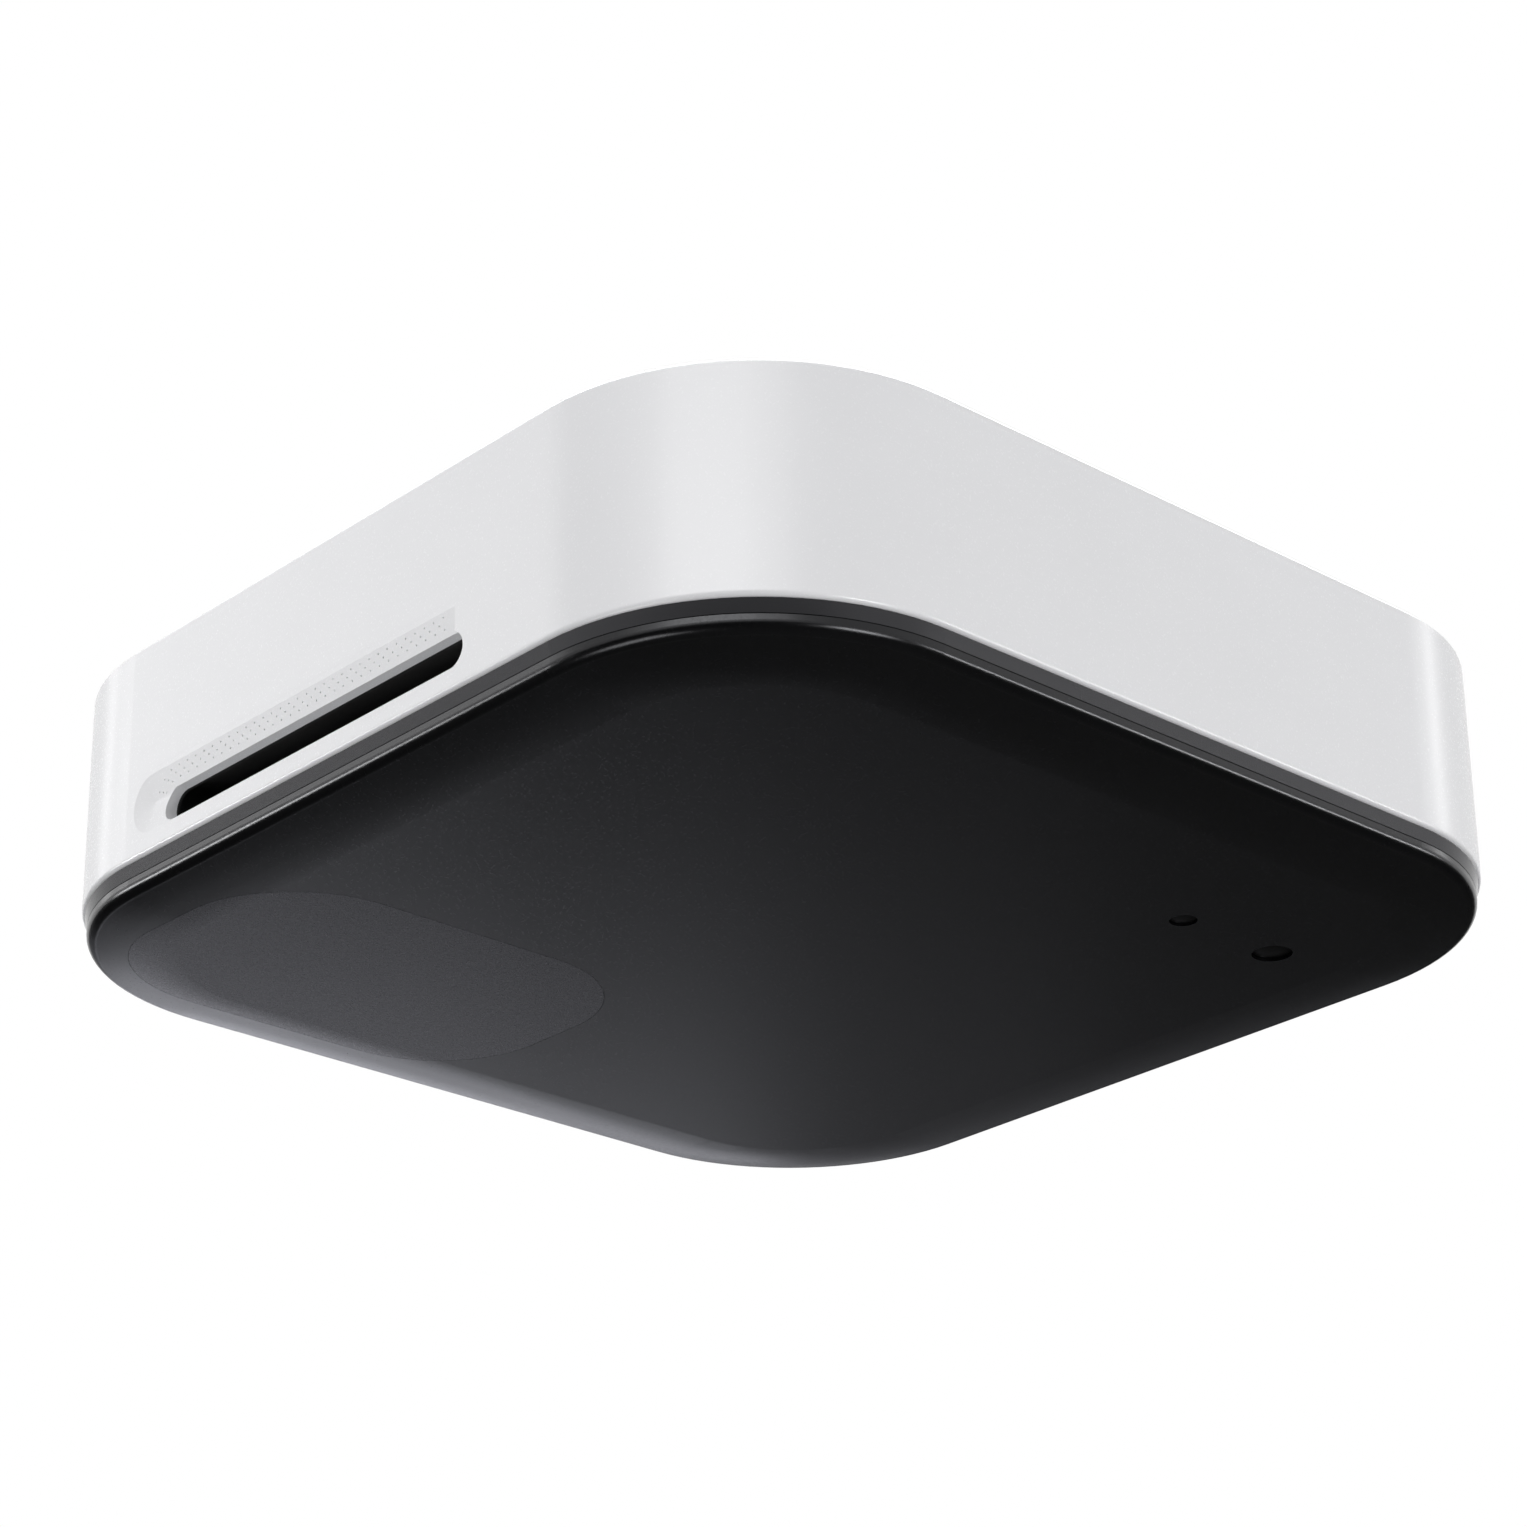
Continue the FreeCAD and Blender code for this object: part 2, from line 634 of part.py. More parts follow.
def cover_clip():
    """One snap hook on the +X side that reaches over the housing's flange."""
    x1 = OPENING_SIDE / 2 - CLIP_GAP
    x0 = x1 - CLIP_T
    tip = x1 + CLIP_HOOK
    foot_z = TRIM_Z - GROOVE_H
    hook_z = FLANGE_Z + CLIP_REST
    profile = [Vector(x0, 0, foot_z), Vector(x1, 0, foot_z), Vector(x1, 0, hook_z),
               Vector(tip, 0, hook_z), Vector(tip, 0, hook_z + HOOK_FLAT),
               Vector(x1, 0, hook_z + HOOK_H), Vector(x0, 0, hook_z + HOOK_H)]
    wire = Part.makePolygon(profile + [profile[0]])
    clip = Part.Face(wire).extrude(Vector(0, CLIP_W, 0))
    clip.translate(Vector(0, -CLIP_W / 2, 0))
    return clip


def make_front_cover(blank):
    """The cover with two hooks on each side, but one beside the air duct."""
    vent_side = 2
    clips = []
    for side in range(4):
        places = [CLIP_Y] if side == vent_side else [CLIP_Y, -CLIP_Y]
        for y in places:
            clip = cover_clip()
            clip.translate(Vector(0, y, 0))
            clips.append(turned(clip, QUARTER * side))
    cover = fuse([blank] + clips)
    cover = cover.cut(window_prism(INLAY_GAP))
    for x, radius in ((LARGE_LENS_X, LARGE_LENS_R), (SMALL_LENS_X, SMALL_LENS_R)):
        seat = cylinder(radius + LENS_FLANGE, TRIM_Z - LENS_FLANGE_T, TRIM_Z, x, LENS_Y)
        cover = cut_all(cover, [cylinder(radius, FACE_Z, TRIM_Z, x, LENS_Y), seat])
    return cover


def make_sensing_window(blank):
    return blank.common(window_prism(0.0))


def make_lens(x, radius):
    """A stepped lens: the flange sits in the back of the cover, the nose in its hole."""
    fit = radius - INLAY_GAP
    low = FACE_Z + LENS_SINK
    crown_r = fit * LENS_CROWN
    nose = cylinder(fit, low, TRIM_Z, x, LENS_Y)
    nose = nose.common(Part.makeSphere(crown_r, Vector(x, LENS_Y, low + crown_r)))
    flange = cylinder(fit + LENS_FLANGE, TRIM_Z - LENS_FLANGE_T, TRIM_Z, x, LENS_Y)
    return nose.fuse(flange)


def on_circle(radius, angle, z):
    turn = math.radians(angle)
    return Vector(radius * math.cos(turn), radius * math.sin(turn), z)


def cam_pocket():
    """The even ramp in the recess wall that pushes the plunger in as the sensor turns."""
    nose = math.degrees((PLUNGER_W / 2 + CAM_GAP) / RECESS_R)
    start = QUARTER - TURN - nose - CAM_STEP
    end = QUARTER + nose
    count = int(math.ceil((end - start) / CAM_STEP))
    low = PLUNGER_Z - CAM_GAP
    ramp, back = [], []
    for index in range(count + 1):
        angle = start + (end - start) * index / count
        share = min(max((angle - QUARTER + TURN) / TURN, 0.0), 1.0)
        radius = PLUNGER_TIP_Y - PLUNGER_TRAVEL * (1 - share) + CAM_GAP
        ramp.append(on_circle(radius, angle, low))
        back.append(on_circle(RECESS_R - RECESS_GAP, angle, low))
    points = ramp + back[::-1]
    face = Part.Face(Part.makePolygon(points + [points[0]]))
    return face.extrude(Vector(0, 0, -low))


def make_rear_chassis():
    side = SIDE - 2 * LIP_WALL - 2 * CHASSIS_GAP
    radius = CORNER_R - LIP_WALL - CHASSIS_GAP
    cam_start, cam_end = QUARTER - TURN - CAM_SIDE_ANGLE, QUARTER + CAM_SIDE_ANGLE
    pieces = [square_prism(side, radius, CHASSIS_Z, TOP_Z),
              cylinder(RECESS_R + RING_T, FLOOR_Z, TOP_Z),
              sector(RECESS_R, RECESS_R + PLUNGER_TRAVEL + CAM_WALL, cam_start, cam_end,
                     FLOOR_Z, TOP_Z)]
    rib_end = side / 2 - CHASSIS_GAP - (WALL - LIP_WALL)
    for index in range(RIB_COUNT):
        rib = box(RECESS_R, rib_end, -RIB_T / 2, RIB_T / 2, CHASSIS_Z - RIB_DROP, CHASSIS_Z)
        pieces.append(turned(rib, index * 360.0 / RIB_COUNT))
    for x, y in corners(BOARD_SCREW_AT):
        pieces.append(cylinder(STANDOFF_R, BOARD_Z, CHASSIS_Z, x, y))
    well_y = WELL_HALF_Y + WELL_T
    pieces.append(box(WELL_X0 - WELL_T, WELL_X1 + WELL_T, -well_y, well_y,
                      WELL_UNDER_Z, FLOOR_Z))
    chassis = fuse(pieces)

    jack_half = JACK_W / 2 + JACK_GAP
    tools = [cylinder(RECESS_R, RECESS_Z, 0),
             cam_pocket(),
             box(WELL_X0, WELL_X1, -WELL_HALF_Y, WELL_HALF_Y, WELL_Z, 0),
             box(WELL_X1, WELL_X1 + WELL_T, -jack_half, jack_half, WELL_UNDER_Z, FLOOR_Z),
             box(WELL_X1 - JACK_GAP, WELL_X1, -jack_half, jack_half, WELL_Z, FLOOR_Z),
             cylinder(STEM_R + STEM_GAP, FLOOR_Z, 0, BUTTON_X, BUTTON_Y),
             cylinder(BUTTON_R + BUTTON_GAP, RECESS_Z - BUTTON_SINK, 0, BUTTON_X, BUTTON_Y)]
    for x, y in corners(BOARD_SCREW_AT):
        tools.append(cylinder(SHANK_R + HOLE_GAP, BOARD_Z, BOARD_Z + SHANK_L, x, y))
    rib_z = CHASSIS_Z - RIB_DROP
    for x, y in corners(BOSS_AT):
        tools.append(cylinder(SHANK_R + HOLE_GAP, rib_z, TOP_Z, x, y))
        tools.append(cylinder(HEAD_R + HEAD_GAP, TOP_Z - HEAD_T - HOLE_GAP, TOP_Z, x, y))
        tools.append(cylinder(BOSS_R + HEAD_GAP, rib_z, CHASSIS_Z, x, y))
    chassis = cut_all(chassis, tools)
    return fuse([chassis] + lugs_and_stops())


def lugs_and_stops():
    """The lugs that ride over the plate's feet, and the ribs that end the turn both ways."""
    into_wall = RECESS_R + RING_T / 2
    foot_r = TAB_LEG_R + TAB_OUT
    gap = math.degrees(STOP_GAP / foot_r)
    pieces = []
    for index in range(TAB_COUNT):
        centre = TAB_FIRST + index * 360.0 / TAB_COUNT
        first, last = centre - TAB_ANGLE / 2, centre + TAB_ANGLE / 2
        pieces.append(sector(LUG_IN_R, into_wall, first, last, LUG_Z, LUG_Z + LUG_T))
        clear_of_plunger = index >= TAB_COUNT / 2
        if clear_of_plunger:
            for start in (last + gap, first - TURN - gap - STOP_ANGLE):
                pieces.append(sector(LUG_IN_R - LUG_CLEAR, into_wall, start, start + STOP_ANGLE,
                                     RECESS_Z - FLOOR_T / 2, FOOT_TOP_Z - LUG_GAP))
    return pieces


def make_ceiling_plate():
    plate = cylinder(PLATE_R, -PLATE_T, 0)
    tools = [cylinder(CABLE_HOLE_R, -PLATE_T, 0)]
    tabs = []
    foot_r = TAB_LEG_R + TAB_OUT
    for index in range(TAB_COUNT):
        centre = TAB_FIRST + index * 360.0 / TAB_COUNT
        first, last = centre - TAB_ANGLE / 2, centre + TAB_ANGLE / 2
        tools.append(sector(TAB_LEG_R + TAB_T, foot_r + TAB_WINDOW_GAP, first, last,
                            -PLATE_T, 0))
        tools.append(sector(CABLE_HOLE_R + LIGHTENING_MARGIN, TAB_LEG_R - LIGHTENING_MARGIN,
                            centre - LIGHTENING_ANGLE / 2, centre + LIGHTENING_ANGLE / 2,
                            -PLATE_T, 0))
        tabs.append(sector(TAB_LEG_R, TAB_LEG_R + TAB_T, first, last, FOOT_Z, 0))
        tabs.append(sector(TAB_LEG_R, foot_r, first, last, FOOT_Z, FOOT_TOP_Z))
    for x in (-SCREW_SPACING / 2, SCREW_SPACING / 2):
        tools.append(cylinder(SCREW_HOLE_R, -PLATE_T, 0, x, 0))
    return fuse([cut_all(plate, tools)] + tabs)


def make_plunger_guide():
    """A folded channel under the plate that carries the plunger and its spring."""
    half = PLUNGER_W / 2 + PLUNGER_GAP
    low = PLUNGER_Z - PLUNGER_GAP
    outer = box(-half - GUIDE_T, half + GUIDE_T, GUIDE_Y, GUIDE_END_Y, low - GUIDE_T, -PLATE_T)
    ear_y = GUIDE_Y + (GUIDE_END_Y - GUIDE_Y - GUIDE_EAR_L) / 2
    ears = box(-half - GUIDE_EAR, half + GUIDE_EAR, ear_y, ear_y + GUIDE_EAR_L,
               -PLATE_T - GUIDE_T, -PLATE_T)
    channel = box(-half, half, GUIDE_Y + GUIDE_T, GUIDE_END_Y, low, -PLATE_T)
    return fuse([outer, ears]).cut(channel)


def make_plunger():
    half = PLUNGER_W / 2
    nose_y = PLUNGER_TIP_Y - half
    bar = box(-half, half, PLUNGER_BACK_Y, nose_y, PLUNGER_Z, PLUNGER_TOP_Z)
    nose = cylinder(half, PLUNGER_Z, PLUNGER_TOP_Z, 0, nose_y)
    return fuse([bar, nose])


def make_spring():
    """A folded leaf spring between the guide's end wall and the plunger."""
    start = GUIDE_Y + GUIDE_T
    pitch = (SPRING_L - SPRING_T) / SPRING_FOLDS
    low = (PLUNGER_Z + PLUNGER_TOP_Z - SPRING_H) / 2
    leaves = []
    for fold in range(SPRING_FOLDS):
        side = SPRING_W / 2 if fold % 2 else -SPRING_W / 2
        y = start + fold * pitch
        points = [Vector(side, y, low), Vector(side, y + SPRING_T, low),
                  Vector(-side, y + pitch + SPRING_T, low), Vector(-side, y + pitch, low)]
        face = Part.Face(Part.makePolygon(points + [points[0]]))
        leaves.append(face.extrude(Vector(0, 0, SPRING_H)))
    return fuse(leaves)


def make_reset_button():
    cap_z = RECESS_Z - BUTTON_SINK + BUTTON_TRAVEL + REST_GAP
    cap = chamfered(BUTTON_R, BUTTON_CHAMFER, cap_z, cap_z + BUTTON_CAP_T, BUTTON_X, BUTTON_Y)
    stem_z = SWITCH_TOP_Z + BUTTON_TRAVEL + REST_GAP
    stem = cylinder(STEM_R, stem_z, cap_z, BUTTON_X, BUTTON_Y)
    collar_top = FLOOR_Z - REST_GAP
    collar = cylinder(STEM_R + COLLAR_W, collar_top - COLLAR_T, collar_top, BUTTON_X, BUTTON_Y)
    return fuse([cap, stem, collar])


def make_reset_switch():
    body = block((SWITCH_SIDE, SWITCH_SIDE, SWITCH_H), BUTTON_X, BUTTON_Y, BOARD_Z)
    pad = cylinder(SWITCH_PAD_R, BOARD_Z + SWITCH_H, SWITCH_TOP_Z, BUTTON_X, BUTTON_Y)
    return fuse([body, pad])


def make_main_board():
    board = square_prism(BOARD_SIDE, BOARD_R, BOARD_UNDER_Z, BOARD_Z)
    for x, y in corners(BOARD_SCREW_AT):
        board = board.cut(cylinder(SHANK_R + HOLE_GAP, BOARD_UNDER_Z, BOARD_Z, x, y))
    return board


def make_jack():
    body = box(JACK_X, JACK_X + JACK_L, -JACK_W / 2, JACK_W / 2, BOARD_Z, JACK_TOP_Z)
    low = BOARD_Z + SOCKET_LIFT
    end = JACK_X + SOCKET_DEPTH
    socket = box(JACK_X, end, -SOCKET_W / 2, SOCKET_W / 2, low, low + SOCKET_H)
    key = box(JACK_X, end, -KEY_W / 2, KEY_W / 2, low, low + SOCKET_H + KEY_H)
    return cut_all(body, [socket, key])


def make_transformer():
    x = JACK_X + JACK_L + TRANSFORMER_GAP + TRANSFORMER[0] / 2
    return block(TRANSFORMER, x, 0, BOARD_Z)


def make_heat_spreader():
    """A plate on the thermal pad with fins that reach the chassis floor."""
    x, y = HOT_SIDE
    z = BOARD_Z + PROCESSOR[2] + PAD_T
    top = z + SPREADER[2]
    fin = (FIN_T, SPREADER[1] - 2 * FIN_MARGIN, FLOOR_Z - top)
    pieces = [block(SPREADER, x, y, z)]
    for index in range(FIN_COUNT):
        offset = (index - (FIN_COUNT - 1) / 2) * FIN_PITCH
        pieces.append(block(fin, x + offset, y, top))
    return fuse(pieces)


def make_shield_can():
    length, width, height = SHIELD
    x, y = RADIO_SIDE
    can = rounded_prism(length, width, SHIELD_R, BOARD_Z, BOARD_Z + height, x, y)
    inside = (length - 2 * SHIELD_T, width - 2 * SHIELD_T, height - SHIELD_T)
    return can.cut(block(inside, x, y, BOARD_Z))


def make_inductor():
    length, width, height = INDUCTOR
    x, y = INDUCTOR_AT
    return rounded_prism(length, width, INDUCTOR_R, BOARD_Z, BOARD_Z + height, x, y)


def make_capacitors():
    x, y = POWER_SIDE
    top = BOARD_Z + CAN_H
    cans = [chamfered(CAN_R, CAN_CHAMFER, BOARD_Z, top, x + step * CAN_PITCH, y)
            for step in (-1, 0, 1)]
    return Part.makeCompound(cans)


def make_antennas():
    """Two stamped antennas that stand near the board's +X edge."""
    found = []
    x = BOARD_SIDE / 2 - ANTENNA_FOOT
    slot_l, slot_h = ANTENNA_SLOT
    for y in (-ANTENNA_Y, ANTENNA_Y):
        foot = block((ANTENNA_FOOT, ANTENNA_L, ANTENNA_T), x, y, BOARD_Z)
        sheet = block((ANTENNA_T, ANTENNA_L, ANTENNA_H), x, y, BOARD_Z)
        arm = block((ANTENNA_ARM, ANTENNA_L, ANTENNA_T), x - ANTENNA_ARM / 2, y,
                    BOARD_Z + ANTENNA_H - ANTENNA_T)
        slot = block((2 * ANTENNA_T, slot_l, slot_h), x, y,
                     BOARD_Z + (ANTENNA_H - slot_h) / 2)
        found.append(fuse([foot, sheet, arm]).cut(slot))
    return Part.makeCompound(found)


def make_radar_board():
    return rounded_prism(RADAR_X, RADAR_Y, RADAR_R, RADAR_Z, RADAR_Z + RADAR_T,
                         RADAR_CX, RADAR_CY)


def make_radar_posts():
    """Three posts between the main board and the radar board."""
    dx = RADAR_X / 2 - POST_INSET
    dy = RADAR_Y / 2 - POST_INSET
    spots = [(-dx, -dy), (dx, -dy), (0, dy)]
    posts = [cylinder(POST_R, RADAR_Z + RADAR_T, BOARD_UNDER_Z, RADAR_CX + x, RADAR_CY + y)
             for x, y in spots]
    return Part.makeCompound(posts)


def make_board_connector():
    low = RADAR_Z + RADAR_T
    return block(CONNECTOR + (BOARD_UNDER_Z - low,), RADAR_CX, RADAR_CY, low)


def make_screws(distance, seat_z, way):
    return Part.makeCompound([screw(x, y, seat_z, way) for x, y in corners(distance)])


def main():
    os.makedirs("parts", exist_ok=True)
    blank = make_cover_blank()
    save("ceiling_plate", make_ceiling_plate())
    save("plunger_guide", make_plunger_guide())
    save("plunger_spring", make_spring())
    save("detent_plunger", make_plunger())
    save("housing", make_housing())
    save("rear_chassis", make_rear_chassis())
    save("trim_ring", make_trim_ring())
    save("cover_gasket", make_gasket())
    save("front_cover", make_front_cover(blank))
    save("sensing_window", make_sensing_window(blank))
    save("large_lens", make_lens(LARGE_LENS_X, LARGE_LENS_R))
    save("small_lens", make_lens(SMALL_LENS_X, SMALL_LENS_R))
    save("vent_panel", make_vent_panel())
    save("vent_mesh", make_vent_mesh())
    save("air_duct", make_air_duct())
    save("air_sensor", make_air_sensor())
    save("main_board", make_main_board())
    save("ethernet_jack", make_jack())
    save("line_transformer", make_transformer())
    save("processor", block(PROCESSOR, *HOT_SIDE, BOARD_Z))
    save("thermal_pad", block(PROCESSOR[:2] + (PAD_T,), *HOT_SIDE, BOARD_Z + PROCESSOR[2]))
    save("heat_spreader", make_heat_spreader())
    save("shield_can", make_shield_can())
    save("radio_chip", block(RADIO_CHIP, *RADIO_SIDE, BOARD_Z))
    save("power_inductor", make_inductor())
    save("capacitors", make_capacitors())
    save("antennas", make_antennas())
    save("radar_board", make_radar_board())
    save("radar_chip", block(RADAR_CHIP, RADAR_CX, RADAR_CY, RADAR_Z - RADAR_CHIP[2]))
    save("radar_posts", make_radar_posts())
    save("board_connector", make_board_connector())
    save("thermal_sensor", cylinder(THERMAL_R, TRIM_Z + THERMAL_CLEAR, BOARD_UNDER_Z,
                                    LARGE_LENS_X, LENS_Y))
    save("light_sensor", block(LIGHT_CHIP, SMALL_LENS_X, LENS_Y,
                               BOARD_UNDER_Z - LIGHT_CHIP[2]))
    save("reset_button", make_reset_button())
    save("reset_switch", make_reset_switch())
    save("board_screws", make_screws(BOARD_SCREW_AT, BOARD_UNDER_Z, 1))
    save("chassis_screws", make_screws(BOSS_AT, TOP_Z - HEAD_T - HOLE_GAP, -1))


main()
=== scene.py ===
"""Looks of the ceiling occupancy sensor: finishes, small contacts, stage, lamps and camera."""

import json
import math

import bpy
import numpy as np
from mathutils import Matrix, Vector


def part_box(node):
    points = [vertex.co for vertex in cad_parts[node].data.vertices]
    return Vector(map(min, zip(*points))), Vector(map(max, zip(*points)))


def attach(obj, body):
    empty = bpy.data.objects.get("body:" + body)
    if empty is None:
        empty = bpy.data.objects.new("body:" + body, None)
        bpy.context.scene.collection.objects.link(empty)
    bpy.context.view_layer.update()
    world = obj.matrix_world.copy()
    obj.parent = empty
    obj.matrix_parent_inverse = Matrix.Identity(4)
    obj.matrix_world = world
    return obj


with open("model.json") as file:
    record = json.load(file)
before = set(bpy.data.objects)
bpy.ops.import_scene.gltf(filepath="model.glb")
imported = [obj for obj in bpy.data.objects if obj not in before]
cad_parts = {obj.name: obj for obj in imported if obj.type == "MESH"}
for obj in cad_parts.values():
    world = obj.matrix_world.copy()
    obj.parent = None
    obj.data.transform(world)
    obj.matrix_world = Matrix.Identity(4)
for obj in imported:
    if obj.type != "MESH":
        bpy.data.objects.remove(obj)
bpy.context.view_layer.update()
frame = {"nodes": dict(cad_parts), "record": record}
NODES = frame["nodes"]
MM = 0.001

PHOTO_SIDE = 1527.0
CAMERA_AT = (-0.26690, -0.28890, -0.19020)
CAMERA_AZIMUTH = 227.275
CAMERA_BELOW = 23.642
CAMERA_ROLL = 0.805
CAMERA_FOCAL = 4014.0
CAMERA_SHIFT = (13.99, 89.15)

WHITE = (0.86, 0.862, 0.88)
BLACK = (0.0022, 0.0022, 0.0025)
WINDOW = (0.006, 0.006, 0.0078)
CONTACT_GOLD = (0.83, 0.60, 0.26)
COOL_LIGHT = (0.91, 0.92, 1.0)

NOISE_SPAN = (0.3, 0.7)
DRIFT_SIZE = 14 * MM
BUMP_STRENGTH = 0.35

CONTACTS = 8
CONTACT_PITCH = 1.02 * MM
CONTACT_STEPS = 14
CONTACT_HALF_WIDTH = 0.23 * MM
CONTACT_THICKNESS = 0.22 * MM
CONTACT_START = 0.9 * MM
CONTACT_LENGTH = 10.6 * MM
CONTACT_BASE = 2.0 * MM
CONTACT_RISE = 3.4 * MM
CONTACT_BEND = 1.3

FLOOR_Z = -0.6
FLOOR_HOLE_R = 0.001
FLOOR_MIDDLE_R = 1.0
FLOOR_FLAT_R = 2.2
FLOOR_EDGE_R = 3.0
WALL_RISE = 0.75
BEND_POINTS = 25
STAGE_STEPS = 96
FLOOR_PATCH = 0.4
FLOOR_DARK = (0.76, 0.76, 0.76)
FLOOR_LIGHT = (0.8, 0.8, 0.8)
FLOOR_ROUGH = 0.9
FLOOR_SPECULAR = 0.1
DIM_WORLD = 0.02
NEAREST_SEEN = 0.01


def link(tree, source, target):
    tree.links.new(source, target)


def object_place(tree, scale=(1, 1, 1)):
    """Object coordinates, stretched by a scale per axis."""
    place = tree.nodes.new("ShaderNodeTexCoord")
    mapping = tree.nodes.new("ShaderNodeMapping")
    mapping.inputs["Scale"].default_value = scale
    link(tree, place.outputs["Object"], mapping.inputs["Vector"])
    return mapping.outputs["Vector"]


def noise(tree, place, size, detail=3.0, rough=0.5):
    """Noise whose spots are about one size across, in metres."""
    spots = tree.nodes.new("ShaderNodeTexNoise")
    spots.inputs["Scale"].default_value = 1.0 / size
    spots.inputs["Detail"].default_value = detail
    spots.inputs["Roughness"].default_value = rough
    link(tree, place, spots.inputs["Vector"])
    return spots.outputs["Fac"]


def spread(tree, value, low, high, before=NOISE_SPAN):
    """A value from the range before, laid over the range from low to high."""
    ranged = tree.nodes.new("ShaderNodeMapRange")
    ranged.inputs["From Min"].default_value = before[0]
    ranged.inputs["From Max"].default_value = before[1]
    ranged.inputs["To Min"].default_value = low
    ranged.inputs["To Max"].default_value = high
    link(tree, value, ranged.inputs["Value"])
    return ranged.outputs["Result"]


def tint(tree, value, dark, light):
    """A colour that goes from dark to light as the noise crosses its usual span."""
    ramp = tree.nodes.new("ShaderNodeValToRGB")
    for stop, colour, position in zip(ramp.color_ramp.elements, (dark, light), NOISE_SPAN):
        stop.color = (*colour, 1)
        stop.position = position
    link(tree, value, ramp.inputs["Fac"])
    return ramp.outputs["Color"]


def shade(colour, factor):
    return tuple(min(1.0, part * factor) for part in colour)


def finish(name, colour, rough, grain=0.2, depth=0.01, vary=0.04, rough_vary=0.04, metallic=0.0,
           specular=0.5, gloss_tint=(1, 1, 1), stretch=(1, 1, 1)):
    """A moulded or rolled surface. The colour drifts over wide noise, and the gloss and a low bump
    follow fine noise. Grain and depth are the bump's spot size and height in mm."""
    material = bpy.data.materials.new(name)
    material.use_nodes = True
    tree = material.node_tree
    shader = tree.nodes["Principled BSDF"]
    shader.inputs["Metallic"].default_value = metallic
    shader.inputs["Specular IOR Level"].default_value = specular
    shader.inputs["Specular Tint"].default_value = (*gloss_tint, 1)
    place = object_place(tree, stretch)
    drift = noise(tree, place, DRIFT_SIZE, detail=2.0)
    fine = noise(tree, place, grain * MM, rough=0.6)
    link(tree, tint(tree, drift, shade(colour, 1 - vary), shade(colour, 1 + vary)),
         shader.inputs["Base Color"])
    link(tree, spread(tree, fine, rough - rough_vary, rough + rough_vary),
         shader.inputs["Roughness"])
    bump = tree.nodes.new("ShaderNodeBump")
    bump.inputs["Strength"].default_value = BUMP_STRENGTH
    bump.inputs["Distance"].default_value = depth * MM
    link(tree, fine, bump.inputs["Height"])
    link(tree, bump.outputs["Normal"], shader.inputs["Normal"])
    return material


FINISHES = {
    "white_plastic": dict(colour=WHITE, rough=0.25, grain=0.22, depth=0.006, vary=0.006),
    "black_gloss": dict(colour=BLACK, rough=0.24, grain=0.3, depth=0.003, vary=0.12, specular=0.35,
                        gloss_tint=(0.95, 0.96, 1.0)),
    "window_black": dict(colour=WINDOW, rough=0.28, grain=0.3, depth=0.003, vary=0.10, specular=0.4,
                         gloss_tint=(0.93, 0.91, 1.0)),
    "trim_grey": dict(colour=(0.016, 0.016, 0.0175), rough=0.16, grain=0.2, depth=0.001, vary=0.04,
                      rough_vary=0.02, specular=0.45, gloss_tint=(0.95, 0.95, 1.0)),
    "foam": dict(colour=(0.03, 0.03, 0.03), rough=0.9, grain=0.5, depth=0.15, vary=0.3),
    "lens_dark": dict(colour=(0.012, 0.012, 0.012), rough=0.42, grain=0.3, depth=0.001, vary=0.1,
                      specular=0.04),
    "mesh_black": dict(colour=(0.02, 0.02, 0.02), rough=0.7, grain=0.15, depth=0.05, vary=0.4),
    "duct_black": dict(colour=(0.035, 0.035, 0.035), rough=0.6, grain=0.3, depth=0.01, vary=0.2),
    "chassis_grey": dict(colour=(0.30, 0.31, 0.32), rough=0.55, grain=0.3, depth=0.02, vary=0.04),
    "zinc_steel": dict(colour=(0.48, 0.49, 0.51), rough=0.5, grain=0.5, depth=0.004, vary=0.10,
                       rough_vary=0.10, metallic=1.0, stretch=(1, 12, 1)),
    "spring_steel": dict(colour=(0.6, 0.6, 0.6), rough=0.25, grain=0.3, depth=0.002, metallic=1.0),
    "acetal": dict(colour=(0.75, 0.75, 0.72), rough=0.4, grain=0.3, depth=0.006, vary=0.02),
    "board_green": dict(colour=(0.015, 0.09, 0.04), rough=0.35, grain=0.6, depth=0.02, vary=0.15),
    "chip_black": dict(colour=(0.03, 0.03, 0.03), rough=0.6, grain=0.2, depth=0.01, vary=0.15),
    "can_steel": dict(colour=(0.7, 0.7, 0.72), rough=0.3, grain=0.4, depth=0.003, metallic=1.0),
    "jack_plastic": dict(colour=(0.03, 0.03, 0.03), rough=0.45, grain=0.25, depth=0.01, vary=0.2),
    "aluminium": dict(colour=(0.75, 0.76, 0.78), rough=0.3, grain=0.4, depth=0.003, metallic=1.0),
    "silicone": dict(colour=(0.35, 0.45, 0.6), rough=0.7, grain=0.4, depth=0.02, vary=0.05),
    "ferrite": dict(colour=(0.09, 0.09, 0.09), rough=0.65, grain=0.25, depth=0.03, vary=0.2),
    "button_grey": dict(colour=(0.5, 0.5, 0.5), rough=0.45, grain=0.25, depth=0.01, vary=0.03),
}


def dress_nodes():
    """Every carried node takes the finish of its slot in the record."""
    slots = {part["node"]: part["material_slot"] for part in frame["record"]["subparts"]}
    made = {slot: finish(slot, **values) for slot, values in FINISHES.items()}
    for node, piece in NODES.items():
        piece.data.materials.clear()
        piece.data.materials.append(made[slots[node]])


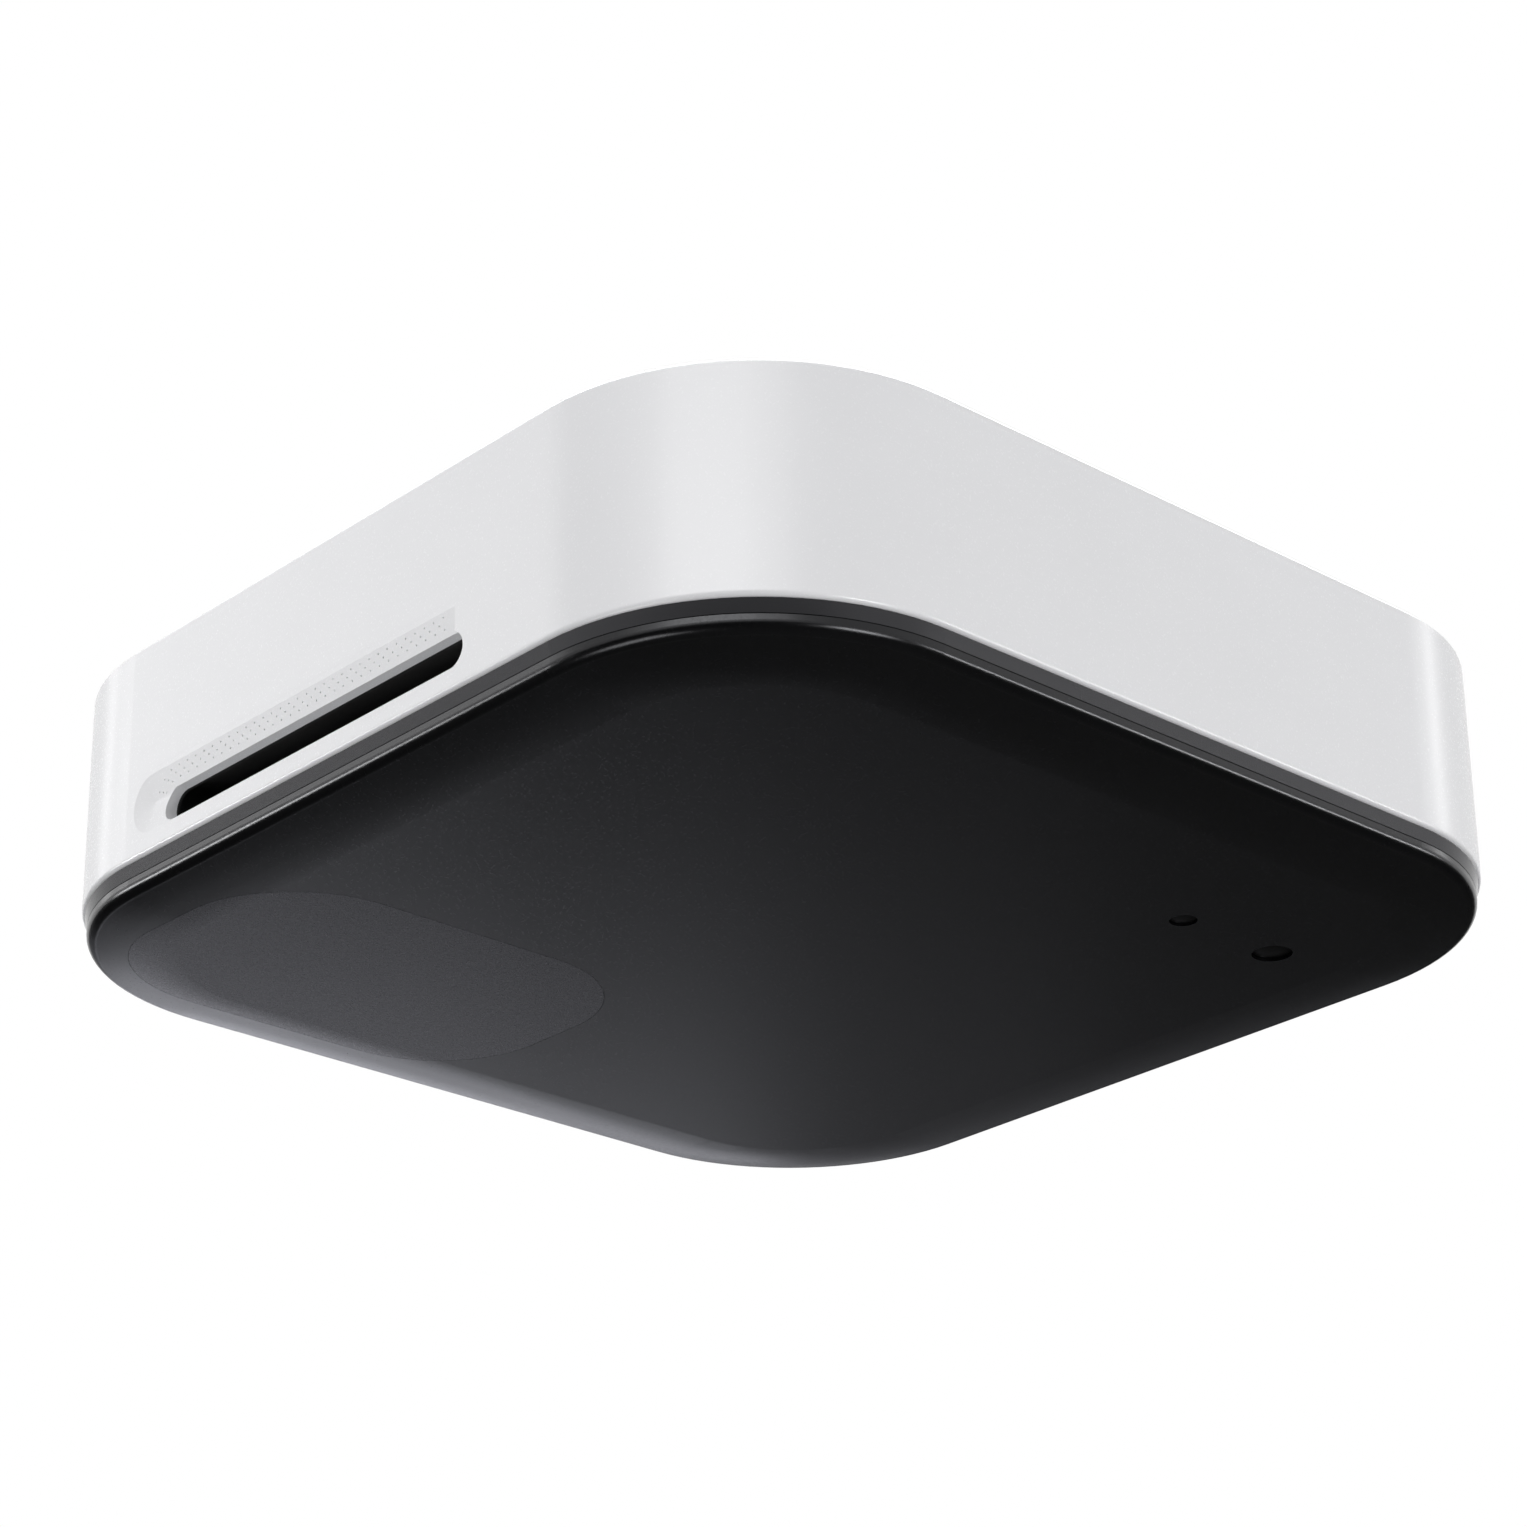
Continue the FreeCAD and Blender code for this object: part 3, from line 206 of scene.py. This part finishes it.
def make_contacts(material):
    """Eight sprung contacts in the network socket. Each is a strip that leaves the socket's floor
    at its mouth and climbs to its back: with t from 0 to 1 along the strip, its height is the rise
    times t to the power of the bend. A rectangular section is carried along that path."""
    low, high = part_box("ethernet_jack")
    t = np.linspace(0, 1, CONTACT_STEPS)
    along = low[0] + CONTACT_START + CONTACT_LENGTH * t
    climb = low[2] + CONTACT_BASE + CONTACT_RISE * t ** CONTACT_BEND
    row = np.arange(CONTACTS) - (CONTACTS - 1) / 2
    middle = (low[1] + high[1]) / 2 + row * CONTACT_PITCH
    corner_y = np.array([-1, 1, 1, -1]) * CONTACT_HALF_WIDTH
    corner_z = np.array([0, 0, 1, 1]) * CONTACT_THICKNESS
    points = np.stack(np.broadcast_arrays(
        along[None, :, None],
        middle[:, None, None] + corner_y[None, None, :],
        climb[None, :, None] + corner_z[None, None, :]), axis=3).reshape(-1, 3)
    strip, ring, side = np.meshgrid(np.arange(CONTACTS), np.arange(CONTACT_STEPS - 1),
                                    np.arange(4), indexing="ij")
    here = (strip * CONTACT_STEPS + ring) * 4
    beside = (side + 1) % 4
    walls = np.stack([here + side, here + beside, here + 4 + beside, here + 4 + side],
                     axis=3).reshape(-1, 4)
    start = np.arange(CONTACTS)[:, None] * CONTACT_STEPS * 4
    ends = np.concatenate([start + [3, 2, 1, 0],
                           start + (CONTACT_STEPS - 1) * 4 + [0, 1, 2, 3]])
    mesh = bpy.data.meshes.new("socket_contacts")
    mesh.from_pydata(points.tolist(), [], np.concatenate([walls, ends]).tolist())
    mesh.materials.append(material)
    piece = bpy.data.objects.new("socket_contacts", mesh)
    bpy.context.scene.collection.objects.link(piece)
    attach(piece, "sensor")


def revolved(name, radii, levels, steps, material):
    """A profile of radii and levels turned round the upright axis: x = r cos t, y = r sin t."""
    turn = np.linspace(0, 2 * math.pi, steps, endpoint=False)
    radii, levels = np.asarray(radii)[:, None], np.asarray(levels)[:, None]
    points = np.stack([radii * np.cos(turn), radii * np.sin(turn),
                       levels * np.ones_like(turn)], axis=2).reshape(-1, 3)
    ring, step = np.meshgrid(np.arange(len(radii) - 1), np.arange(steps), indexing="ij")
    here, beside = ring * steps + step, ring * steps + (step + 1) % steps
    faces = np.stack([here, here + steps, beside + steps, beside], axis=2).reshape(-1, 4)
    mesh = bpy.data.meshes.new(name)
    mesh.from_pydata(points.tolist(), [], faces.tolist())
    mesh.materials.append(material)
    mesh.shade_smooth()
    piece = bpy.data.objects.new(name, mesh)
    bpy.context.scene.collection.objects.link(piece)
    return piece


def make_stage():
    """A round pale floor below the sensor that curves up into a low wall."""
    material = bpy.data.materials.new("floor_paint")
    material.use_nodes = True
    tree = material.node_tree
    shader = tree.nodes["Principled BSDF"]
    shader.inputs["Roughness"].default_value = FLOOR_ROUGH
    shader.inputs["Specular IOR Level"].default_value = FLOOR_SPECULAR
    patches = noise(tree, object_place(tree), FLOOR_PATCH)
    link(tree, tint(tree, patches, FLOOR_DARK, FLOOR_LIGHT), shader.inputs["Base Color"])
    bend = np.linspace(0, math.pi / 2, BEND_POINTS)
    curve = FLOOR_FLAT_R + (FLOOR_EDGE_R - FLOOR_FLAT_R) * np.sin(bend)
    radii = np.concatenate([[FLOOR_HOLE_R, FLOOR_MIDDLE_R], curve])
    levels = np.concatenate([[FLOOR_Z, FLOOR_Z], FLOOR_Z + WALL_RISE * (1 - np.cos(bend))])
    revolved("floor", radii, levels, STAGE_STEPS, material)


# Each lamp: place, aim, width, height, watts, spread in degrees. The first number in a name is the
# side that the lamp stands on, in degrees about the upright axis, and a second is how far down it
# stands. The high lamps show in the walls' gloss, the glow lamps in the black face, and the level
# lamp and the strip in the dark band. The cove lamp lights the floor's bent edge for the face to
# mirror, and the low, below, wash and above lamps are soft fill.
LAMPS = {
    "high_105": ((-0.272, 1.015, 0.456), (0, 0, -0.012), 0.18, 0.35, 0.01242, 30),
    "high_120": ((-0.525, 0.910, 0.456), (0, 0, -0.012), 0.18, 0.35, 0.01624, 30),
    "high_135": ((-0.743, 0.743, 0.456), (0, 0, -0.012), 0.18, 0.35, 0.01169, 30),
    "high_335": ((0.952, -0.444, 0.456), (0, 0, -0.012), 0.18, 0.35, 0.01939, 30),
    "low_270": ((0.0, -1.076, -0.241), (0, 0, -0.012), 0.5, 0.3, 0.335, 40),
    "level_130": ((-0.739, 0.881, -0.035), (0, 0, -0.02), 0.3, 0.2, 0.31, 60),
    "glow_60_22": ((0.579, 1.004, -0.483), (0, 0, -0.025), 0.28, 0.16, 0.00474, 90),
    "glow_45_1": ((0.905, 0.905, -0.047), (0, 0, -0.025), 0.14, 0.15, 0.0013, 70),
    "glow_51_15": ((0.778, 0.961, -0.356), (0, 0, -0.025), 0.14, 0.15, 0.00622, 70),
    "glow_51_8": ((0.798, 0.985, -0.203), (0, 0, -0.025), 0.14, 0.15, 0.01069, 70),
    "glow_57_15": ((0.673, 1.037, -0.356), (0, 0, -0.025), 0.14, 0.15, 0.01195, 70),
    "glow_57_1": ((0.697, 1.073, -0.047), (0, 0, -0.025), 0.14, 0.15, 0.02883, 70),
    "glow_63_15": ((0.561, 1.102, -0.356), (0, 0, -0.025), 0.14, 0.15, 0.01345, 70),
    "glow_63_1": ((0.581, 1.14, -0.047), (0, 0, -0.025), 0.14, 0.15, 0.03075, 70),
    "cove_deep": ((0.75, 1.55, -0.2), (1.6, 3.0, -0.35), 0.8, 0.25, 5.024, 140),
    "glow_40_16": ((0.920, 0.772, -0.370), (0, 0, -0.025), 0.2, 0.15, 0.00079, 80),
    "glow_46_21": ((0.811, 0.839, -0.473), (0, 0, -0.025), 0.2, 0.15, 0.0021, 80),
    "glow_66_24": ((0.464, 1.043, -0.533), (0, 0, -0.025), 0.2, 0.15, 0.00765, 80),
    "below_170": ((-0.45, 0.08, -0.56), (-0.06, 0, -0.02), 0.35, 0.35, 0.45, 90),
    "high_182": ((-1.049, -0.037, 0.456), (0, 0, -0.012), 0.25, 0.35, 0.00944, 30),
    "high_196": ((-1.009, -0.289, 0.456), (0, 0, -0.012), 0.25, 0.35, 0.03995, 30),
    "high_209": ((-0.918, -0.509, 0.456), (0, 0, -0.012), 0.25, 0.35, 0.04381, 30),
    "high_222": ((-0.780, -0.703, 0.456), (0, 0, -0.012), 0.25, 0.35, 0.04402, 30),
    "high_236": ((-0.587, -0.870, 0.456), (0, 0, -0.012), 0.25, 0.35, 0.02453, 30),
    "high_250": ((-0.359, -0.987, 0.456), (0, 0, -0.012), 0.25, 0.35, 0.002, 30),
    "strip_312": ((0.769, -0.855, -0.030), (0, 0, -0.02), 0.6, 0.08, 0.1951, 40),
    "wash_165": ((-0.711, 0.191, 0.797), (0, 0, -0.02), 0.3, 0.3, 0.2334, 50),
    "above_back": ((0.55, 0.55, 0.85), (0, 0, -0.01), 0.9, 0.9, 0.6, 60),
}


def make_lamps():
    """Soft lamps with a narrow spread. Those that the black face mirrors are a little blue."""
    for name, (place, aim, width, height, watts, angle) in LAMPS.items():
        lamp = bpy.data.lights.new(name, "AREA")
        lamp.shape = "RECTANGLE"
        lamp.size, lamp.size_y = width, height
        lamp.energy = watts
        if name.startswith(("glow", "cove")):
            lamp.color = COOL_LIGHT
        lamp.spread = math.radians(angle)
        holder = bpy.data.objects.new(name, lamp)
        bpy.context.scene.collection.objects.link(holder)
        way = Vector(aim) - Vector(place)
        holder.matrix_world = (Matrix.Translation(place)
                               @ way.to_track_quat("-Z", "Y").to_matrix().to_4x4())


def make_world():
    """White where the camera, gloss or glass looks at it, and dim where it lights the object."""
    world = bpy.data.worlds.new("studio")
    bpy.context.scene.world = world
    world.use_nodes = True
    tree = world.node_tree
    path = tree.nodes.new("ShaderNodeLightPath")
    seen = tree.nodes.new("ShaderNodeMath")
    seen.operation = "MAXIMUM"
    link(tree, path.outputs["Is Camera Ray"], seen.inputs[0])
    link(tree, path.outputs["Is Glossy Ray"], seen.inputs[1])
    clear = tree.nodes.new("ShaderNodeMath")
    clear.operation = "MAXIMUM"
    link(tree, seen.outputs[0], clear.inputs[0])
    link(tree, path.outputs["Is Transmission Ray"], clear.inputs[1])
    background = tree.nodes["Background"]
    background.inputs["Color"].default_value = (1, 1, 1, 1)
    link(tree, spread(tree, clear.outputs[0], DIM_WORLD, 1.0, (0, 1)),
         background.inputs["Strength"])


def make_camera():
    """A camera that looks up along its azimuth, rolled a little, with the photograph's focal length
    and centre."""
    camera = bpy.data.cameras.new("camera")
    camera.sensor_fit = "HORIZONTAL"
    camera.lens = CAMERA_FOCAL / PHOTO_SIDE * camera.sensor_width
    camera.shift_x = -CAMERA_SHIFT[0] / PHOTO_SIDE
    camera.shift_y = CAMERA_SHIFT[1] / PHOTO_SIDE
    camera.clip_start = NEAREST_SEEN
    azimuth, below, roll = (math.radians(angle) for angle in
                            (CAMERA_AZIMUTH, CAMERA_BELOW, CAMERA_ROLL))
    forward = -Vector((math.cos(azimuth) * math.cos(below), math.sin(azimuth) * math.cos(below),
                       -math.sin(below)))
    right = forward.cross(Vector((0, 0, 1))).normalized()
    down = forward.cross(right)
    side = math.cos(roll) * right + math.sin(roll) * down
    top = math.sin(roll) * right - math.cos(roll) * down
    holder = bpy.data.objects.new("camera", camera)
    bpy.context.scene.collection.objects.link(holder)
    turn = Matrix((side, top, -forward)).transposed().to_4x4()
    holder.matrix_world = Matrix.Translation(CAMERA_AT) @ turn
    bpy.context.scene.camera = holder


dress_nodes()
make_contacts(finish("contact_gold", CONTACT_GOLD, 0.24, depth=0.001, vary=0.03, metallic=1.0))
make_stage()
make_lamps()
make_world()
make_camera()
bpy.context.scene.view_settings.view_transform = "Standard"
